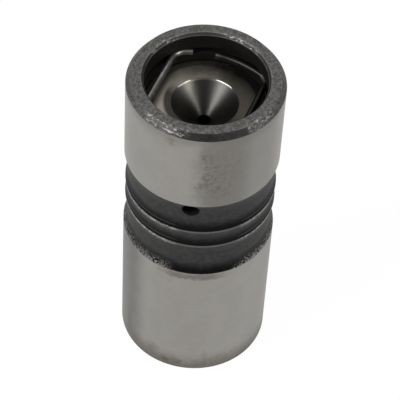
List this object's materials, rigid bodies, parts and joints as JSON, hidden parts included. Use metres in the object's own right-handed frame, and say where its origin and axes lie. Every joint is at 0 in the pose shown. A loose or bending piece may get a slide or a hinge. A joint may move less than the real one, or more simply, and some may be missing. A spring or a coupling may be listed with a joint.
{
  "type": "hydraulic valve lifter",
  "caption": "Cylindrical flat-foot hydraulic valve lifter with ground lands, a dark oil waist, and a sprung plunger that carries a coned pushrod seat below a wire clip.",
  "frame": {"origin": "centre of the foot's face", "axes": "+Z along the axis from the foot towards the pushrod, -Y towards the oil feed hole"},
  "size_m": [0.0214, 0.0214, 0.0508],
  "materials": {
    "body": "ground lands with oil stains, dark phosphate waist and bevels",
    "clip": "drawn spring wire, oil blackened",
    "seat": "turned and polished, lightly tarnished",
    "disc": "blanked sheet",
    "plunger": "fine ground",
    "retainer": "pressed sheet",
    "ball": "polished bearing ball",
    "spring": "spring wire"
  },
  "bodies": {
    "lifter_body": {"lifter_body": "body", "retaining_clip": "clip", "plunger_spring": "spring"},
    "plunger": {"plunger": "plunger", "pushrod_seat": "seat", "metering_disc": "disc", "check_retainer": "retainer", "check_spring": "spring"},
    "check_ball": {"check_ball": "ball"}
  },
  "joints": [
    {"name": "plunger_slide", "type": "slide", "parent": "lifter_body", "child": "plunger", "axis": [0, 0, -1], "range_m": [-0.00105, 0.004], "stiffness_N_per_m": 3000, "springref_m": -0.008, "deforming": ["plunger_spring"]},
    {"name": "check_ball_lift", "type": "slide", "parent": "plunger", "child": "check_ball", "axis": [0, 0, -1], "range_m": [0, 0.0004], "stiffness_N_per_m": 60, "springref_m": -0.002, "deforming": ["check_spring"]}
  ]
}
